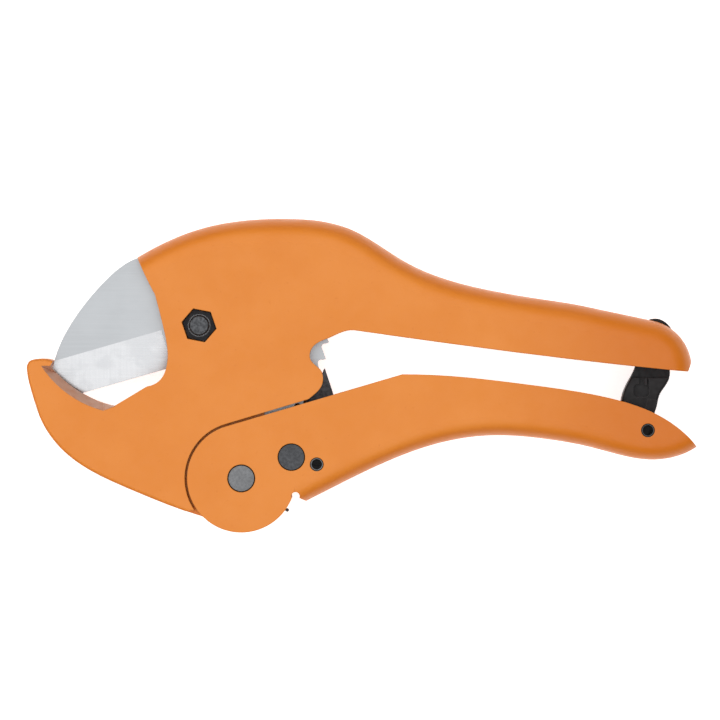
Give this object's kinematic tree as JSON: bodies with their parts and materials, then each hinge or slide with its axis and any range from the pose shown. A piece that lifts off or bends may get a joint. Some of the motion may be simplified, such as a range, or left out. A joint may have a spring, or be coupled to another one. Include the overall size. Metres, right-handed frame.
{
  "type": "ratcheting pipe cutter",
  "caption": "Hand-held ratcheting shear for plastic pipe: hooked jaw, pivoting toothed blade, squeeze handle with pawl, and a latch that keeps the handles closed.",
  "frame": {"origin": "centre of the outline, on the back face the tool lies on", "axes": "+X from the jaw to the handle ends, +Y from the lower handle to the head, +Z out of the front face"},
  "size_m": [0.1956, 0.0916, 0.02],
  "materials": {
    "orange_paint": "satin paint on die-cast aluminium",
    "blade_steel": "ground and lightly polished",
    "bronze": "turned bronze",
    "black_steel": "black oxide",
    "spring_steel": "oil-tempered wire",
    "pin_steel": "zinc plated",
    "dark_pin_steel": "phosphated",
    "pawl_steel": "black hardened steel",
    "black_plastic": "moulded nylon"
  },
  "bodies": {
    "frame": {"frame_casting": "orange_paint", "blade_bush": "bronze", "blade_bolt": "black_steel", "bolt_washer": "black_steel", "blade_nut": "black_steel", "blade_spring": "spring_steel", "handle_pivot_pin": "pin_steel", "holding_pawl_spring": "spring_steel", "holding_pawl_spacers": "pin_steel"},
    "blade": {"blade": "blade_steel"},
    "lower_handle": {"lower_handle": "orange_paint", "handle_spring": "spring_steel", "drive_pawl_pin": "dark_pin_steel", "drive_pawl_spacers": "pin_steel", "drive_pawl_spring": "spring_steel", "spring_pin": "pin_steel", "latch_pin": "black_steel"},
    "drive_pawl": {"drive_pawl": "pawl_steel"},
    "holding_pawl": {"holding_pawl": "pawl_steel"},
    "latch": {"latch": "black_plastic"}
  },
  "joints": [
    {"name": "blade_hinge", "type": "hinge", "parent": "frame", "child": "blade", "pos_m": [-0.0475, 0.0146, 0.01], "axis": [0, 0, -1], "range_deg": [0, 60]},
    {"name": "handle_hinge", "type": "hinge", "parent": "frame", "child": "lower_handle", "pos_m": [-0.0352, -0.03, 0.01], "axis": [0, 0, -1], "range_deg": [0, 32]},
    {"name": "drive_pawl_hinge", "type": "hinge", "parent": "lower_handle", "child": "drive_pawl", "pos_m": [-0.0206, -0.0238, 0.01], "axis": [0, 0, -1], "range_deg": [-41, 0.5]},
    {"name": "holding_pawl_hinge", "type": "hinge", "parent": "frame", "child": "holding_pawl", "pos_m": [-0.0352, -0.03, 0.01], "axis": [0, 0, -1], "range_deg": [-9, 6]},
    {"name": "latch_hinge", "type": "hinge", "parent": "lower_handle", "child": "latch", "pos_m": [0.0833, -0.016, 0.01], "axis": [0, 0, -1], "range_deg": [-2.5, 35]}
  ],
  "couplings": [
    {"joint": "drive_pawl_hinge", "follows": "handle_hinge", "ratio": -1.27}
  ]
}
